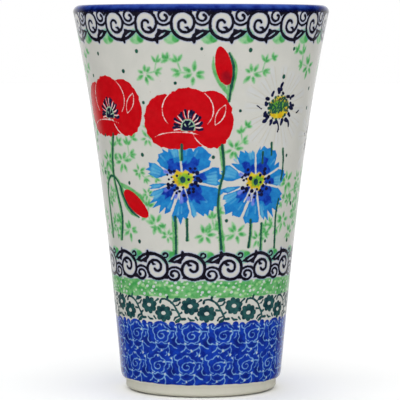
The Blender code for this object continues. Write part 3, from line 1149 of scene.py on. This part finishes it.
def cobalt_glaze():
    """Brushed cobalt with painted shading, darkest at its lower edge and lighter up the lip, and a painted
    highlight on the crown of the lip.
    """
    graph = Graph("cobalt_glaze")
    streaks = graph.patches(4.0, detail=4.0, rough=0.6)
    height = graph.axis("Z")
    # painted shading: the band is darker low down and lighter towards the crown, as if lit from above
    painted_shading_ramp = graph.remap(height, HEIGHT - 0.0026, HEIGHT - 0.0006)
    low = graph.mix(streaks, srgb(0, 2, 40), srgb(0, 6, 62))
    high = graph.mix(streaks, srgb(8, 32, 126), srgb(42, 76, 166))
    colour = graph.mix(painted_shading_ramp, low, high)
    # painted highlight: lighter patches on the crown of the lip
    crown = graph.remap(height, HEIGHT - 0.0009, HEIGHT, 0.0, 0.85)
    crown_highlight = graph.math("MULTIPLY", crown, graph.patches(6.0, 0.3, 0.6, to_low=0.35, detail=3.0))
    colour = graph.mix(crown_highlight, colour, srgb(88, 112, 186))
    glaze_surface(graph, colour, 0.10)
    return graph.material


def plain_glaze(name, tones):
    """Clear glaze over cream."""
    graph = Graph(name)
    glaze_surface(graph, cream(graph, tones), 0.11)
    return graph.material


RING_PITCH = 0.55


def bare_clay():
    """Matt fired clay with grog, faint stains and turning lines."""
    graph = Graph("bare_clay")
    grain = graph.noise(0.35, detail=5.0, rough=0.65)
    colour = graph.mix(graph.patches(5.0, detail=4.0), srgb(211, 210, 194), srgb(217, 214, 200))
    colour = graph.mix(graph.remap(grain, 0.55, 0.8, 0.0, 0.4), colour, srgb(190, 182, 162))
    rings = graph.math("SINE", graph.math("MULTIPLY", graph.axis("Z"), MM * math.tau / RING_PITCH))
    relief = graph.math("ADD", graph.math("MULTIPLY", rings, 0.25), grain)
    graph.set("Base Color", colour)
    graph.set("Roughness", 0.82)
    graph.set("Normal", graph.bump(relief, 0.06))
    return graph.material


# Staging
def floor():
    """A plain pale floor."""
    mesh = bpy.data.meshes.new("floor")
    reach = 6.0
    corners = [(-reach, -reach, 0.0), (reach, -reach, 0.0), (reach, reach, 0.0), (-reach, reach, 0.0)]
    mesh.from_pydata(corners, [], [(0, 1, 2, 3)])
    item = bpy.data.objects.new("floor", mesh)
    bpy.context.collection.objects.link(item)
    graph = Graph("floor_paper")
    paper = graph.mix(graph.noise(60.0), (0.97, 0.97, 0.97, 1.0), (0.99, 0.99, 0.99, 1.0))
    graph.set("Base Color", paper)
    graph.set("Roughness", 0.9)
    graph.set("Specular IOR Level", 0.0)
    mesh.materials.append(graph.material)
    item.visible_glossy = False


def sun(name, towards, softness, strength):
    """A broad soft light from one side, as strong everywhere."""
    data = bpy.data.lights.new(name, "SUN")
    data.energy = strength * math.pi
    data.angle = math.radians(softness)
    item = bpy.data.objects.new(name, data)
    item.rotation_euler = Vector(towards).to_track_quat("Z", "Y").to_euler()
    item.visible_glossy = False
    bpy.context.collection.objects.link(item)


AMBIENT = 0.14
OVERHEAD = 0.85
KEY = 0.17
FILL = 0.3
MIRRORED_FRONT = 0.02
MIRRORED_BACK = 0.8
MIRRORED_TOP = 0.12


def lighting():
    """White surroundings that gloss mirrors mostly from behind, and three broad soft lights."""
    world = bpy.data.worlds.new("studio")
    world.use_nodes = True
    nodes = Nodes(world.node_tree, "Generated")
    behind = nodes.remap(nodes.axis("Y"), 0.58, 1.0, MIRRORED_FRONT, MIRRORED_BACK)
    low = nodes.remap(nodes.axis("Z"), 0.1, 0.45, 1.0, 0.15)
    above = nodes.remap(nodes.axis("Z"), 0.45, 0.75, 0.0, MIRRORED_TOP)
    mirrored = nodes.math("MULTIPLY_ADD", behind, low, above)
    is_glossy = nodes.add("ShaderNodeLightPath", {}, output="Is Glossy Ray")
    is_seen = nodes.add("ShaderNodeLightPath", {}, output="Is Camera Ray")
    background = nodes.tree.nodes["Background"]
    nodes.feed(background.inputs["Color"], (1.0, 1.0, 1.0, 1.0))
    unseen = nodes.choose(is_glossy, AMBIENT, mirrored)
    nodes.feed(background.inputs["Strength"], nodes.choose(is_seen, unseen, 1.0))
    bpy.context.scene.world = world
    sun("overhead", (0.0, -0.25, 1.0), 100.0, OVERHEAD)
    sun("key", (0.03, -1.0, 0.28), 40.0, KEY)
    sun("fill_behind", (-0.2, 1.0, 0.5), 60.0, FILL)


def camera():
    """A long lens just under the height of the lip, looking slightly down."""
    data = bpy.data.cameras.new("camera")
    data.lens = 216.0
    data.sensor_width = 36.0
    item = bpy.data.objects.new("camera", data)
    item.location = (-0.0004, -0.951, 0.1399)
    item.rotation_euler = (math.radians(90.0 - 3.909), 0.0, 0.0)
    bpy.context.collection.objects.link(item)
    bpy.context.scene.camera = item


def main():
    """Build every piece, give it its glaze and its place in the part."""
    pieces = (
        (wall_piece(), "outer_glaze", "decorated_glaze", decorated_glaze()),
        (lip_piece(), "lip_glaze", "cobalt_glaze", cobalt_glaze()),
        (liner_piece(), "inner_glaze", "liner_glaze", plain_glaze("liner_glaze", PALE_CREAM)),
        (clay_piece(), "stoneware_body", "bare_clay", bare_clay()),
        (base_piece(), "base_glaze", "base_coat_glaze", plain_glaze("base_coat_glaze", CREAM)),
    )
    for item, node, slot, material in pieces:
        item.data.materials.append(material)
        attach(item, "root")
        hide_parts(node)
    floor()
    lighting()
    camera()
    bpy.context.scene.view_settings.view_transform = "Standard"


main()
